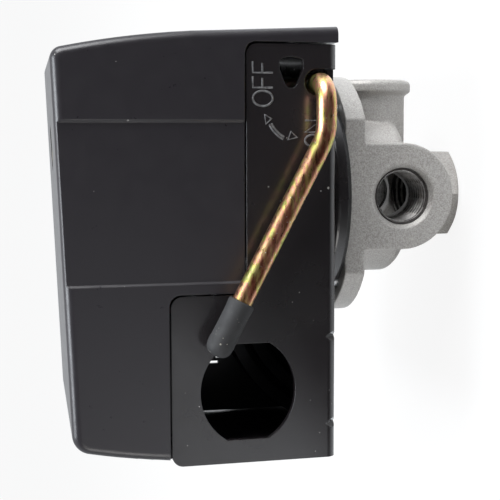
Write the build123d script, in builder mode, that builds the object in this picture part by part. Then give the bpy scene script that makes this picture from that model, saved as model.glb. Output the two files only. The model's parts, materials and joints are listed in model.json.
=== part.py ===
"""Air compressor pressure switch: four-port manifold, steel frame, contacts, cover and hand lever.

Frame: +Z up as installed, with the cover on top and the manifold below.
+X points to the side port, -Y to the end plate that carries the hand lever.
The origin is the centre of the main port's mouth, on the manifold's lower end. Millimetres.
"""
import os
from math import cos, radians, sin

from build123d import *

os.makedirs("parts", exist_ok=True)

# ---------------------------------------------------------------- driving dimensions
# Levels above the main port's mouth.
PORT_Z = 19.0            # axis of the three cross ports
FLANGE_Z = 28.8          # underside of the manifold flange
FLANGE_T = 5.2
DIAPHRAGM_T = 0.8
BASE_Z = 40.4            # underside of the frame's base

# Frame.
SHEET = 1.5
FRAME_LEFT = -59.8       # end of the base under the wiring space
FRAME_RIGHT = 35.3
FRAME_HALF_Y = 34.5      # outer face of each end plate
LOW_PLATE_H = 21.3       # plate height over the spring side
HIGH_PLATE_H = 38.7      # plate height over the wiring side
STEP_X = -21.0           # where the plate height changes
CORNER_R = 2.6
BEND_R = 2.2
CONDUIT_X = FRAME_LEFT + 16.5
CONDUIT_Z = BASE_Z + 21.0
CONDUIT_HALF = 11.1      # 22.2 mm opening for a half-inch conduit fitting
CONDUIT_FLAT_HALF = 4.9  # half length of the flats at its two X ends
LEVER_X = 26.6           # axis of the hand lever, parallel to Y
LEVER_Z = 44.6
LEVER_HOLE_X = 26.8
LEVER_HOLE_Z = 45.2
LEVER_HOLE_R = 3.0
CAM_WINDOW_LEFT = 21.2   # opening in the base under the lever's cam
CAM_WINDOW_RIGHT = 29.1
CAM_WINDOW_Y = 14.0
PISTON_HOLE_R = 7.0
SCREW_PLAY = 0.2

# Cover.
WALL = 2.4
COVER_FACE_Y = 34.9
COVER_GAP = 0.4
COVER_TOP_Z = 103.55     # height of the sloping top over the origin, at the lever face
COVER_TOP_RISE = 0.0408  # its climb for each millimetre of X
COVER_TOP_FALL = 0.0415  # its fall for each millimetre of Y
COVER_RIGHT = ((39.4, BASE_Z), (37.9, 74.0), (36.6, 87.5), (32.9, 108.0))
COVER_LEFT = ((-59.5, BASE_Z), (-59.2, 66.0), (-57.5, 88.0), (-53.4, 108.0))
COVER_LEFT_CORNER_R = 4.5
COVER_RIGHT_CORNER_R = 2.8
COVER_EDGE_R = 2.0
SKIRT_H = 9.0            # skirt that closes the gap beside the frame's base
BAND_HALF = 18.3         # half width of the shallow panel on each long face
BAND_DEPTH = 0.5

# Manifold.
FLANGE_END_R = 24.5
FLANGE_END_X = 5.46
FLANGE_HALF_Y = 20.6
SLAB_HALF_X = 13.1
DOME_R = 20.2
DOME_KNEE_Z = 18.6
DOME_FOOT_R = 13.2
DOME_FOOT_Z = 13.8
HEX_AF = 21.4
SIDE_Z = 21.0            # axis of the side port, a little above the end ports
SIDE_REACH = 29.0
SIDE_R = 9.1
BEAD_R = 10.6
BEAD_W = 4.0
THREAD_R = 6.8           # wall of a quarter-inch pipe thread at the mouth
THREAD_LEN = 12.0
PORT_CHAMFER = 1.2
GALLERY_R = 6.2
CROSS_R = 4.3

# Pressure side.
RING_R = 26.0
RING_BORE_R = 15.2
PISTON_R = 14.8
CHAMBER_R = 13.5         # pressure chamber under the diaphragm
CHAMBER_DEPTH = 3.0
DRILLING_R = 2.5
RING_SHOULDER = 2.2
RING_LIP_H = 3.4
PISTON_PLAY = 0.15
PISTON_HEAD_H = 2.5
PISTON_STEM_R = 4.0
PISTON_STEM_H = 8.0
PISTON_TIP_H = 1.4
SCREW_X = 20.6
SCREW_Y = 13.2
SCREW_R = 2.0
SCREW_HEAD_R = 3.3
SCREW_HEAD_H = 2.2
LOCK_WASHER_T = 0.8
FLANGE_FLOOR = 1.0       # metal left under each tapped hole

# Rocker, springs and studs.
PIVOT_X = -10.0
ROCKER_Z = 45.9          # middle of the rocker's sheet
ROCKER_T = 2.0
ROCKER_HALF_Y = 9.4
ROCKER_LEFT = -31.5
ROCKER_RIGHT = 21.0
PIVOT_Z = ROCKER_Z - 0.6
BARREL_R = 2.6
BARREL_LEN = 5.0
FINGER_Y = 7.5
FINGER_W = 3.6
LUG_R = 3.3
LUG_T = 2.0
LUG_W = 7.0
RANGE_X = 12.0
RANGE_STUD_R = 3.5
RANGE_STUD_TOP = 95.0
RANGE_SPRING_R = 8.4
RANGE_WIRE_R = 1.3
RANGE_SEAT_Z = 78.0
RANGE_TURNS = 6.5
DIFF_X = -20.5
DIFF_STUD_R = 2.0
DIFF_SPRING_R = 4.0
DIFF_WIRE_R = 0.6
DIFF_SEAT_Z = 62.0
DIFF_TURNS = 6.0
DIFF_NUT_AF = 8.0
DIFF_NUT_H = 4.0
DIFF_COLLAR_R = 5.0
RANGE_NUT_AF = 13.0
RANGE_NUT_H = 7.0
RANGE_SEAT_T = 1.6

# Contacts.
DECK_Z = 74.0
DECK_TOP = 85.0
DECK_LEFT = -53.4
DECK_RIGHT = -38.0
BLOCK_HALF_Y = 32.0
STRIP_T = 1.2
CONTACT_X = -30.0
TERMINAL_X = -48.0
POLE_PITCH = 15.0
POLE_YS = (-22.5, -7.5, 7.5, 22.5)
BUTTON_H = 1.2
CARRIER_W = 7.0
CARRIER_POST_H = 14.0
BRIDGE_W = 4.8
BRIDGE_LEN = 20.0
BRIDGE_T = 1.0
BRIDGE_YS = (-15.0, 15.0)
LEG_X = -28.6
LEG_W = 6.0
LEG_T = 3.0
BARRIER_YS = (-30.8, -15.0, 0.0, 15.0, 30.8)

# Hand lever.
ROD_R = 2.27
ROD_Y = -39.75
ROD_ELBOW_R = 5.0
ROD_KNEE_R = 12.0
ROD_KNEE_X = 15.0
ROD_LEAN = 27.8
CAP_R = 3.1
CAP_LEN = 13.4
CAP_SKIN = 3.0           # thickness of the cap's closed end
CAP_START_X = -21.8
WASHER_R = 5.0
CAM_HUB_R = 3.1
CAM_REACH = 4.4
CAM_HALF_Y = 6.0

# Details.
DART_XS = (-31.4, -51.8)
DART_DEPTH = 1.9
DART_SPREAD = 4.6
SHIELD_X = 29.6
SHIELD_Z = 51.3
PIN_R = 1.6
COVER_STUD_R = 2.0
COVER_STUD_TOP = 100.8
COVER_NUT_R = 5.0
COVER_SEAT_Z = 98.5
CARRIER_FOOT_Z = 72.0
RIB_X = -22.5            # common centre of the wire guide's two ribs
RIB_Z = 22.0
RIB_RADII = ((31.9, 34.9), (36.8, 39.7))
GUIDE_LEFT = -56.5
GUIDE_RIGHT = -34.0
RIB_HALF_Y = 4.0
WEB_T = 1.0
SLOTS = ((-43.75, 61.6, 0.7, 2.2), (-42.3, 60.4, 0.8, 1.4))

base_top = BASE_Z + SHEET
flange_top = FLANGE_Z + FLANGE_T
ring_z = flange_top + DIAPHRAGM_T


def save(piece, label):
    """Label a finished piece and write it as its own STEP file."""
    piece.part.label = label
    export_step(piece.part, f"parts/{label}.step")


def plate_outline(gap=0.0, foot=0.0):
    """Face of an end plate in X and Z, grown by gap, reaching foot below the base."""
    low = BASE_Z + LOW_PLATE_H + gap
    high = BASE_Z + HIGH_PLATE_H + gap
    right = FRAME_RIGHT + gap
    left = FRAME_LEFT - gap
    step = STEP_X + gap
    with BuildSketch(Plane.XZ) as face:
        with BuildLine():
            Polyline(
                (left, BASE_Z - foot),
                (right, BASE_Z - foot),
                (right, low),
                (step, low),
                (step, high),
                (left, high),
                close=True,
            )
        make_face()
        fillet(face.vertices().filter_by(lambda v: v.Y > low - 0.1 and abs(v.X - step) > 1), CORNER_R)
        fillet(face.vertices().filter_by(lambda v: v.Y > low + 1 and abs(v.X - step) < 1), CORNER_R)
    return face.sketch


def conduit_outline():
    """Round opening with two short flats, as punched for a conduit fitting."""
    left, right = CONDUIT_X - CONDUIT_HALF, CONDUIT_X + CONDUIT_HALF
    low, high = CONDUIT_Z - CONDUIT_FLAT_HALF, CONDUIT_Z + CONDUIT_FLAT_HALF
    with BuildSketch(Plane.XZ) as hole:
        with BuildLine():
            Line((left, low), (left, high))
            ThreePointArc((left, high), (CONDUIT_X, CONDUIT_Z + CONDUIT_HALF), (right, high))
            Line((right, high), (right, low))
            ThreePointArc((right, low), (CONDUIT_X, CONDUIT_Z - CONDUIT_HALF), (left, low))
        make_face()
    return hole.sketch


def coil(radius, wire, bottom, top, turns, x):
    """Open coil spring between two levels, standing on the line x, y = 0."""
    height = top - bottom - 2 * wire
    pitch = height / turns
    with BuildPart() as spring:
        with BuildLine(Plane((x, 0, bottom + wire))) as path:
            Helix(pitch=pitch, height=height, radius=radius)
        with BuildSketch(Plane(origin=path.line @ 0, z_dir=path.line % 0)):
            Circle(wire)
        sweep(path=path.line, is_frenet=True)
    return spring


def screw_group(points, top, head_r, head_h, shank_r, shank_len, slot):
    """Cheese-head screws at points, heads up, with their heads' tops at the level top."""
    with BuildPart() as group:
        for x, y in points:
            with BuildSketch(Plane.XY.offset(top - head_h)):
                with Locations((x, y)):
                    Circle(head_r)
            extrude(amount=head_h)
            with BuildSketch(Plane.XY.offset(top - head_h)):
                with Locations((x, y)):
                    Circle(shank_r)
            extrude(amount=-shank_len)
        crowns = group.edges().filter_by(GeomType.CIRCLE).group_by(Axis.Z)[-1]
        fillet(crowns, head_h * 0.3)
        for x, y in points:
            with BuildSketch(Plane.XY.offset(top)):
                with Locations((x, y)):
                    Rectangle(2 * head_r + 1, slot)
                    Rectangle(slot, 1.3 * head_r)
            extrude(amount=-head_h * 0.5, mode=Mode.SUBTRACT)
    return group


# ---------------------------------------------------------------- frame
with BuildPart() as frame:
    with BuildSketch(Plane.XY.offset(BASE_Z)):
        with Locations(((FRAME_LEFT + FRAME_RIGHT) / 2, 0)):
            Rectangle(FRAME_RIGHT - FRAME_LEFT, 2 * FRAME_HALF_Y)
    extrude(amount=SHEET)
    for side in (-1, 1):
        outer_face = Plane.XZ.offset(-side * FRAME_HALF_Y)
        with BuildSketch(outer_face):
            add(plate_outline())
        extrude(amount=side * SHEET)
    bends = frame.edges().filter_by(Axis.X).filter_by(lambda e: abs(e.center().Z - BASE_Z) < 0.01)
    fillet(bends, BEND_R)
    inner_face_y = FRAME_HALF_Y - SHEET
    crooks = frame.edges().filter_by(Axis.X).filter_by(
        lambda e: abs(e.center().Z - base_top) < 0.01 and abs(abs(e.center().Y) - inner_face_y) < 0.01
    )
    fillet(crooks, BEND_R - SHEET)
    # Stiffening darts pressed into both bends beside the conduit openings.
    for side in (-1, 1):
        for x in DART_XS:
            corner = Vector(x, side * FRAME_HALF_Y, BASE_Z)
            inward = Vector(0, -side, 1).normalized()
            groove = Plane(
                origin=corner + inward * DART_DEPTH,
                x_dir=(1, 0, 0),
                z_dir=Vector(0, side, 1).normalized(),
            )
            with BuildSketch(groove):
                with BuildLine():
                    Polyline((0, 0), (DART_SPREAD, side * 4), (-DART_SPREAD, side * 4), close=True)
                make_face()
            extrude(amount=5.0, both=True, mode=Mode.SUBTRACT)
    # Openings in the base: piston, flange screws and the lever's cam.
    with BuildSketch(Plane.XY.offset(BASE_Z)):
        Circle(PISTON_HOLE_R)
        with GridLocations(2 * SCREW_X, 2 * SCREW_Y, 2, 2):
            Circle(SCREW_R + SCREW_PLAY)
        with Locations(((CAM_WINDOW_LEFT + CAM_WINDOW_RIGHT) / 2, 0)):
            Rectangle(CAM_WINDOW_RIGHT - CAM_WINDOW_LEFT, CAM_WINDOW_Y)
    extrude(amount=SHEET, mode=Mode.SUBTRACT)
    # Conduit openings in both end plates.
    with BuildSketch(Plane.XZ.offset(-FRAME_HALF_Y - 1)):
        add(conduit_outline())
    extrude(amount=2 * FRAME_HALF_Y + 2, mode=Mode.SUBTRACT)
    # Lever opening: a round hole that runs out through the bend as a slot.
    with BuildSketch(Plane.XZ.offset(FRAME_HALF_Y + 1)):
        with BuildLine():
            ThreePointArc(
                (LEVER_HOLE_X + LEVER_HOLE_R, LEVER_HOLE_Z),
                (LEVER_HOLE_X, LEVER_HOLE_Z + LEVER_HOLE_R),
                (LEVER_HOLE_X - LEVER_HOLE_R, LEVER_HOLE_Z),
            )
            Polyline(
                (LEVER_HOLE_X - LEVER_HOLE_R, LEVER_HOLE_Z),
                (LEVER_HOLE_X - LEVER_HOLE_R, BASE_Z - 1),
                (LEVER_HOLE_X + LEVER_HOLE_R, BASE_Z - 1),
                (LEVER_HOLE_X + LEVER_HOLE_R, LEVER_HOLE_Z),
            )
        make_face()
    extrude(amount=-SHEET - 3, mode=Mode.SUBTRACT)
    # Plain bearing hole for the inner end of the lever in the far plate.
    with Locations(Location((LEVER_X, FRAME_HALF_Y, LEVER_Z), (90, 0, 0))):
        Cylinder(ROD_R + 0.05, 4 * SHEET, mode=Mode.SUBTRACT)
    # Shield-shaped peep hole beside the lever.
    with BuildSketch(Plane.XZ.offset(FRAME_HALF_Y + 1)):
        with BuildLine():
            ThreePointArc(
                (SHIELD_X + 2.1, SHIELD_Z - 2.7),
                (SHIELD_X + 2.9, SHIELD_Z),
                (SHIELD_X + 2.1, SHIELD_Z + 2.7),
            )
            Polyline(
                (SHIELD_X + 2.1, SHIELD_Z + 2.7),
                (SHIELD_X, SHIELD_Z + 2.75),
                (SHIELD_X - 3.1, SHIELD_Z + 1.5),
            )
            ThreePointArc(
                (SHIELD_X - 3.1, SHIELD_Z + 1.5),
                (SHIELD_X - 4.1, SHIELD_Z),
                (SHIELD_X - 3.1, SHIELD_Z - 1.5),
            )
            Polyline(
                (SHIELD_X - 3.1, SHIELD_Z - 1.5),
                (SHIELD_X, SHIELD_Z - 2.75),
                (SHIELD_X + 2.1, SHIELD_Z - 2.7),
            )
        make_face()
    extrude(amount=-SHEET - 2, mode=Mode.SUBTRACT)
save(frame, "frame")

# ---------------------------------------------------------------- manifold and pressure seal
with BuildPart() as manifold:
    # Flange: two flats and two large end arcs.
    with BuildSketch(Plane.XY.offset(FLANGE_Z)):
        with Locations((FLANGE_END_X, 0)):
            Circle(FLANGE_END_R)
        with Locations((-FLANGE_END_X, 0)):
            Circle(FLANGE_END_R)
        Rectangle(2 * (FLANGE_END_X + FLANGE_END_R), 2 * FLANGE_HALF_Y, mode=Mode.INTERSECT)
    extrude(amount=FLANGE_T)
    # Dome under the flange, falling to the central body.
    with BuildSketch(Plane.XZ):
        with BuildLine():
            Polyline((0, DOME_FOOT_Z), (0, FLANGE_Z + 0.5), (DOME_R, FLANGE_Z + 0.5), (DOME_R, DOME_KNEE_Z))
            ThreePointArc(
                (DOME_R, DOME_KNEE_Z),
                (DOME_R - 1.0, DOME_KNEE_Z - 1.7),
                (DOME_R - 3.4, DOME_KNEE_Z - 2.7),
            )
            Polyline((DOME_R - 3.4, DOME_KNEE_Z - 2.7), (DOME_FOOT_R, DOME_FOOT_Z), (0, DOME_FOOT_Z))
        make_face()
    revolve(axis=Axis.Z)
    # Slab between the two end ports, rounded at its lower end.
    with BuildSketch(Plane.XZ.offset(-FLANGE_HALF_Y)):
        with Locations((0, PORT_Z)):
            Circle(SLAB_HALF_X)
        with Locations((0, (PORT_Z + FLANGE_Z) / 2)):
            Rectangle(2 * SLAB_HALF_X, FLANGE_Z - PORT_Z)
    extrude(amount=2 * FLANGE_HALF_Y)
    # Side port with a beaded rim.
    with BuildSketch(Plane.XZ):
        with BuildLine():
            Polyline(
                (SIDE_REACH - 1.5, SIDE_Z + BEAD_R),
                (SIDE_REACH - BEAD_W + 1.0, SIDE_Z + BEAD_R),
                (SIDE_REACH - BEAD_W, SIDE_Z + SIDE_R),
                (0, SIDE_Z + SIDE_R),
                (0, SIDE_Z),
                (SIDE_REACH, SIDE_Z),
                (SIDE_REACH, SIDE_Z + BEAD_R - 1.5),
            )
            RadiusArc(
                (SIDE_REACH, SIDE_Z + BEAD_R - 1.5),
                (SIDE_REACH - 1.5, SIDE_Z + BEAD_R),
                -1.5,
            )
        make_face()
    revolve(axis=Axis((0, 0, SIDE_Z), (1, 0, 0)))
    # Hexagon round the main port, corners towards the end ports.
    with BuildSketch():
        RegularPolygon(HEX_AF / 2, 6, major_radius=False, rotation=30)
    extrude(amount=PORT_Z)
    with BuildSketch(Plane.XZ):
        with BuildLine():
            Polyline(
                (HEX_AF / 2 - 0.6, -0.1),
                (HEX_AF / 2 + 3, -0.1),
                (HEX_AF / 2 + 3, 2.0),
                close=True,
            )
        make_face()
    revolve(axis=Axis.Z, mode=Mode.SUBTRACT)
    # Soften the cast outline before the ports are machined.
    rims = manifold.edges().filter_by(GeomType.CIRCLE).filter_by(
        lambda e: abs(abs(e.center().Y) - FLANGE_HALF_Y) < 0.01 and abs(e.radius - SLAB_HALF_X) < 0.1
    )
    fillet(rims, 0.6)
    # Pressure chamber under the diaphragm and its drilling down to the ports.
    with BuildSketch(Plane.XY.offset(flange_top)):
        Circle(CHAMBER_R)
    extrude(amount=-CHAMBER_DEPTH, mode=Mode.SUBTRACT)
    with BuildSketch(Plane.XY.offset(PORT_Z)):
        Circle(DRILLING_R)
    extrude(amount=flange_top - PORT_Z, mode=Mode.SUBTRACT)
    # One port along each direction: chamfer, thread wall, gallery and cross drilling.
    for towards, reach, level, mouth_chamfer in (
        (Vector(0, 0, -1), PORT_Z, PORT_Z, 0.0),
        (Vector(0, -1, 0), FLANGE_HALF_Y, PORT_Z, PORT_CHAMFER),
        (Vector(0, 1, 0), FLANGE_HALF_Y, PORT_Z, PORT_CHAMFER),
        (Vector(1, 0, 0), SIDE_REACH, SIDE_Z, PORT_CHAMFER),
    ):
        mouth = Plane(origin=Vector(0, 0, level) + towards * reach, z_dir=towards)
        with BuildSketch(mouth):
            Circle(THREAD_R)
        extrude(amount=-THREAD_LEN, mode=Mode.SUBTRACT)
        with BuildSketch(mouth.offset(-THREAD_LEN)):
            Circle(GALLERY_R)
        extrude(amount=-(reach - THREAD_LEN - 1.5), mode=Mode.SUBTRACT)
        with BuildSketch(mouth.offset(-THREAD_LEN)):
            Circle(CROSS_R)
        extrude(amount=-(reach - THREAD_LEN), mode=Mode.SUBTRACT)
        if mouth_chamfer:
            with BuildSketch(mouth):
                Circle(THREAD_R + mouth_chamfer)
            extrude(amount=-mouth_chamfer, taper=45, mode=Mode.SUBTRACT)
    # Tapped blind holes in the flange corners.
    with BuildSketch(Plane.XY.offset(flange_top)):
        with GridLocations(2 * SCREW_X, 2 * SCREW_Y, 2, 2):
            Circle(SCREW_R + SCREW_PLAY)
    extrude(amount=-(FLANGE_T - FLANGE_FLOOR), mode=Mode.SUBTRACT)
save(manifold, "manifold")

with BuildPart() as diaphragm:
    with BuildSketch(Plane.XY.offset(flange_top)):
        Circle(RING_R - 0.3)
        with GridLocations(2 * SCREW_X, 2 * SCREW_Y, 2, 2):
            Circle(SCREW_R + SCREW_PLAY, mode=Mode.SUBTRACT)
    extrude(amount=DIAPHRAGM_T)
save(diaphragm, "diaphragm")

with BuildPart() as diaphragm_ring:
    with BuildSketch(Plane.XY.offset(ring_z)):
        Circle(RING_R)
    extrude(amount=RING_LIP_H)
    fillet(diaphragm_ring.edges().group_by(Axis.Z)[-1], 1.4)
    with BuildSketch(Plane.XY.offset(ring_z)):
        Circle(RING_R - RING_SHOULDER)
    extrude(amount=BASE_Z - ring_z)
    with BuildSketch(Plane.XY.offset(ring_z)):
        Circle(RING_BORE_R)
    extrude(amount=BASE_Z - ring_z, mode=Mode.SUBTRACT)
    with BuildSketch(Plane.XY.offset(ring_z)):
        with GridLocations(2 * SCREW_X, 2 * SCREW_Y, 2, 2):
            Circle(SCREW_R + SCREW_PLAY)
    extrude(amount=BASE_Z - ring_z, mode=Mode.SUBTRACT)
save(diaphragm_ring, "diaphragm_ring")

with BuildPart() as piston:
    with BuildSketch(Plane.XY.offset(ring_z + PISTON_PLAY)):
        Circle(PISTON_R)
    extrude(amount=PISTON_HEAD_H)
    with BuildSketch(Plane.XY.offset(ring_z + PISTON_PLAY)):
        Circle(PISTON_STEM_R)
    extrude(amount=PISTON_STEM_H)
    with BuildSketch(Plane.XY.offset(ring_z + PISTON_PLAY + PISTON_STEM_H)):
        Circle(PISTON_STEM_R)
    extrude(amount=PISTON_TIP_H, taper=60)
    chamfer(piston.edges().filter_by(GeomType.CIRCLE).filter_by(lambda e: e.radius > PISTON_R - 1), 0.4)
save(piston, "piston")

# Flange screws enter from inside the frame and end in the manifold's tapped holes.
flange_points = [(x, y) for x in (-SCREW_X, SCREW_X) for y in (-SCREW_Y, SCREW_Y)]
head_base = base_top + LOCK_WASHER_T
flange_screws = screw_group(
    flange_points,
    head_base + SCREW_HEAD_H,
    SCREW_HEAD_R,
    SCREW_HEAD_H,
    SCREW_R,
    head_base - FLANGE_Z - FLANGE_FLOOR - 0.4,
    0.9,
)
save(flange_screws, "flange_screws")

with BuildPart() as flange_washers:
    with BuildSketch(Plane.XY.offset(base_top)):
        with Locations(*flange_points):
            Circle(SCREW_HEAD_R - 0.1)
            Circle(SCREW_R + 0.02, mode=Mode.SUBTRACT)
    extrude(amount=LOCK_WASHER_T)
save(flange_washers, "flange_washers")

# ---------------------------------------------------------------- rocker, studs and springs
rocker_low = ROCKER_Z - ROCKER_T / 2
rocker_high = ROCKER_Z + ROCKER_T / 2

with BuildPart() as rocker:
    with BuildSketch(Plane.XY.offset(rocker_low)):
        with Locations(((ROCKER_LEFT + ROCKER_RIGHT) / 2, 0)):
            RectangleRounded(ROCKER_RIGHT - ROCKER_LEFT, 2 * ROCKER_HALF_Y, 3.0)
        with Locations((RANGE_X, 0)):
            SlotOverall(11.0, 9.4, mode=Mode.SUBTRACT)
        with Locations((DIFF_X, 0)):
            SlotOverall(7.4, 5.6, mode=Mode.SUBTRACT)
    extrude(amount=ROCKER_T)
    # Hinge barrel under the sheet.
    for start in (-ROCKER_HALF_Y, ROCKER_HALF_Y - BARREL_LEN):
        with BuildSketch(Plane.XZ.offset(-start)):
            with Locations((PIVOT_X, PIVOT_Z)):
                Circle(BARREL_R)
        extrude(amount=-BARREL_LEN)
    with Locations(Location((PIVOT_X, 0, PIVOT_Z), (90, 0, 0))):
        Cylinder(PIN_R + 0.05, 4 * ROCKER_HALF_Y, mode=Mode.SUBTRACT)
    # Middle of the sheet is open between the barrels so that the pin passes clear of it.
    with Locations((PIVOT_X, 0, ROCKER_Z)):
        Box(6.4, 2 * (ROCKER_HALF_Y - BARREL_LEN), 10.0, mode=Mode.SUBTRACT)
    # Upright fingers under the contact carrier.
    finger_h = CARRIER_FOOT_Z - 0.3 - rocker_low
    for y in (-FINGER_Y, FINGER_Y):
        with Locations((CONTACT_X, y, rocker_low)):
            Box(2.0, FINGER_W, finger_h, align=(Align.CENTER, Align.CENTER, Align.MIN))
save(rocker, "rocker")

with BuildPart() as rocker_pin:
    with Locations(Location((PIVOT_X, 0, PIVOT_Z), (90, 0, 0))):
        Cylinder(PIN_R, 2 * (ROCKER_HALF_Y + 2 * LUG_T))
    chamfer(rocker_pin.edges(), 0.3)
save(rocker_pin, "rocker_pin")

# Two lugs that stand on the base and carry the pin outside the rocker.
with BuildPart() as pivot_lugs:
    for side in (-1, 1):
        near = side * (ROCKER_HALF_Y + 0.6)
        with BuildSketch(Plane.XZ.offset(-near)):
            with Locations((PIVOT_X, (base_top + PIVOT_Z) / 2)):
                Rectangle(LUG_W, PIVOT_Z - base_top)
            with Locations((PIVOT_X, PIVOT_Z)):
                Circle(LUG_R)
                Circle(PIN_R + 0.005, mode=Mode.SUBTRACT)
        extrude(amount=-side * LUG_T)
        with Locations((PIVOT_X, near + side * LUG_W / 2, base_top)):
            Box(LUG_W, LUG_W, 1.5, align=(Align.CENTER, Align.CENTER, Align.MIN))
save(pivot_lugs, "pivot_lugs")

with BuildPart() as range_stud:
    with BuildSketch(Plane.XY.offset(base_top)):
        Circle(RANGE_STUD_R + 2.0)
    extrude(amount=1.2)
    with BuildSketch(Plane.XY.offset(base_top)):
        Circle(RANGE_STUD_R)
    extrude(amount=RANGE_STUD_TOP - base_top)
    with BuildSketch(Plane.XY.offset(RANGE_STUD_TOP)):
        Circle(COVER_STUD_R)
    extrude(amount=COVER_STUD_TOP - RANGE_STUD_TOP)
    chamfer(range_stud.edges().filter_by(GeomType.CIRCLE).group_by(Axis.Z)[-1], 0.5)
range_stud.part.locate(Location((RANGE_X, 0, 0)))
save(range_stud, "range_stud")

range_spring = coil(
    RANGE_SPRING_R, RANGE_WIRE_R, rocker_high + 0.1, RANGE_SEAT_Z - 0.1, RANGE_TURNS, RANGE_X
)
save(range_spring, "range_spring")

with BuildPart() as range_seat:
    with BuildSketch(Plane.XY.offset(RANGE_SEAT_Z)):
        with Locations((RANGE_X, 0)):
            Circle(RANGE_SPRING_R + 1.8)
            Circle(RANGE_STUD_R + 0.3, mode=Mode.SUBTRACT)
    extrude(amount=RANGE_SEAT_T)
    fillet(range_seat.edges().group_by(Axis.Z)[-1], 0.4)
save(range_seat, "range_seat")

with BuildPart() as range_nut:
    with BuildSketch(Plane.XY.offset(RANGE_SEAT_Z + RANGE_SEAT_T + 0.3)):
        with Locations((RANGE_X, 0)):
            RegularPolygon(RANGE_NUT_AF / 2, 6, major_radius=False)
            Circle(RANGE_STUD_R + 0.05, mode=Mode.SUBTRACT)
    extrude(amount=RANGE_NUT_H)
save(range_nut, "range_nut")

with BuildPart() as differential_stud:
    with BuildSketch(Plane.XY.offset(base_top)):
        with Locations((DIFF_X, 0)):
            Circle(DIFF_STUD_R + 1.0)
    extrude(amount=1.0)
    with BuildSketch(Plane.XY.offset(base_top)):
        with Locations((DIFF_X, 0)):
            Circle(DIFF_STUD_R)
    extrude(amount=DIFF_SEAT_Z + 9.0 - base_top)
save(differential_stud, "differential_stud")

differential_spring = coil(
    DIFF_SPRING_R, DIFF_WIRE_R, rocker_high + 0.1, DIFF_SEAT_Z - 0.1, DIFF_TURNS, DIFF_X
)
save(differential_spring, "differential_spring")

with BuildPart() as differential_nut:
    with BuildSketch(Plane.XY.offset(DIFF_SEAT_Z)):
        with Locations((DIFF_X, 0)):
            Circle(DIFF_COLLAR_R)
            Circle(DIFF_STUD_R + 0.05, mode=Mode.SUBTRACT)
    extrude(amount=1.0)
    with BuildSketch(Plane.XY.offset(DIFF_SEAT_Z + 1.0)):
        with Locations((DIFF_X, 0)):
            RegularPolygon(DIFF_NUT_AF / 2, 6, major_radius=False)
            Circle(DIFF_STUD_R + 0.05, mode=Mode.SUBTRACT)
    extrude(amount=DIFF_NUT_H)
save(differential_nut, "differential_nut")

# ---------------------------------------------------------------- contacts
with BuildPart() as contact_block:
    # Terminal deck between the end plates.
    with Locations(((DECK_LEFT + DECK_RIGHT) / 2, 0, (DECK_Z + DECK_TOP) / 2)):
        Box(DECK_RIGHT - DECK_LEFT, 2 * BLOCK_HALF_Y, DECK_TOP - DECK_Z)
    # Barriers between the terminals.
    for y in BARRIER_YS:
        with Locations(((DECK_LEFT + DECK_RIGHT) / 2, y, DECK_TOP)):
            Box(
                DECK_RIGHT - DECK_LEFT,
                2.2,
                8.0,
                align=(Align.CENTER, Align.CENTER, Align.MIN),
            )
    # End legs that stand on the base and guide the carrier between them.
    for side in (-1, 1):
        leg_y = side * (BLOCK_HALF_Y - LEG_T / 2)
        with Locations((LEG_X, leg_y, base_top)):
            Box(LEG_W, LEG_T, DECK_TOP - base_top, align=(Align.CENTER, Align.CENTER, Align.MIN))
        with Locations(((LEG_X + DECK_RIGHT) / 2, leg_y, DECK_Z)):
            Box(
                LEG_X - DECK_RIGHT + 1.0,
                LEG_T,
                DECK_TOP - DECK_Z,
                align=(Align.CENTER, Align.CENTER, Align.MIN),
            )
    # Terminal wells on the wiring side.
    for y in POLE_YS:
        with Locations((DECK_LEFT, y, DECK_TOP - 3.0)):
            Box(7.0, 9.0, 8.0, align=(Align.CENTER, Align.CENTER, Align.MIN), mode=Mode.SUBTRACT)
        with Locations((TERMINAL_X, y, DECK_TOP)):
            Cylinder(1.8, 14.0, mode=Mode.SUBTRACT)
save(contact_block, "contact_block")

# Web between the two wiring spaces, with arched ribs that lead the wires up to the terminals.
guide_x = (GUIDE_LEFT + GUIDE_RIGHT) / 2
guide_w = GUIDE_RIGHT - GUIDE_LEFT
guide_h = DECK_Z - 0.3 - base_top
with BuildPart() as cable_guide:
    for inner, outer in RIB_RADII:
        with BuildSketch(Plane.XZ.offset(RIB_HALF_Y)):
            with Locations((RIB_X, RIB_Z)):
                Circle(outer)
                Circle(inner, mode=Mode.SUBTRACT)
            with Locations((guide_x, base_top + guide_h / 2)):
                Rectangle(guide_w, guide_h, mode=Mode.INTERSECT)
        extrude(amount=-2 * RIB_HALF_Y)
    with BuildSketch(Plane.XZ.offset(-RIB_HALF_Y)):
        with Locations((guide_x, base_top + guide_h / 2)):
            Rectangle(guide_w, guide_h)
        for x, z, height, width in SLOTS:
            with Locations((x, z)):
                Rectangle(height, width, mode=Mode.SUBTRACT)
    extrude(amount=-WEB_T)
    with Locations((guide_x, 0, base_top)):
        Box(guide_w, 2 * RIB_HALF_Y, 1.0, align=(Align.CENTER, Align.CENTER, Align.MIN))
save(cable_guide, "cable_guide")

button_z = DECK_TOP - BUTTON_H
with BuildPart() as fixed_contacts:
    for y in POLE_YS:
        with BuildSketch(Plane.XY.offset(DECK_TOP)):
            with Locations(((TERMINAL_X - 5 + CONTACT_X + 4) / 2, y)):
                RectangleRounded(CONTACT_X + 4 - TERMINAL_X + 5, 8.0, 1.2)
            with Locations((TERMINAL_X, y)):
                Circle(1.7, mode=Mode.SUBTRACT)
        extrude(amount=STRIP_T)
        with Locations((CONTACT_X, y, button_z)):
            Cylinder(2.4, BUTTON_H, align=(Align.CENTER, Align.CENTER, Align.MIN))
save(fixed_contacts, "fixed_contacts")

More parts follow.
